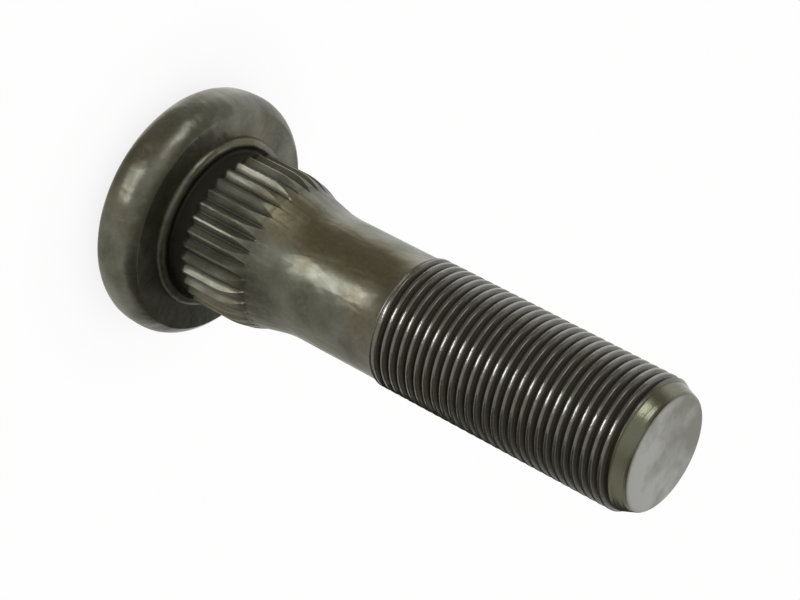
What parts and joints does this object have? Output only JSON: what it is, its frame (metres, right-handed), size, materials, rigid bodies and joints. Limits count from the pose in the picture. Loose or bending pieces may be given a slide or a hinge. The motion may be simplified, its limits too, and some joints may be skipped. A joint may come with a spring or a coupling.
{
  "type": "wheel bolt",
  "caption": "Press-in wheel bolt with a round forged head, a raised bead and ribbed seat under the head, a necked shank and a long fine-threaded end.",
  "frame": {"origin": "centre of the flat bearing face under the head", "axes": "+Z along the bolt's axis, from the head to the threaded tip; +X points at the middle of a groove between two ribs"},
  "size_m": [0.0382, 0.0382, 0.0898],
  "materials": {
    "phosphated_steel": "dark olive-grey phosphate coating, oiled, with a medium gloss and patchy brown and green tints"
  },
  "bodies": {
    "root": {"wheel_bolt": "phosphated_steel"}
  },
  "joints": []
}
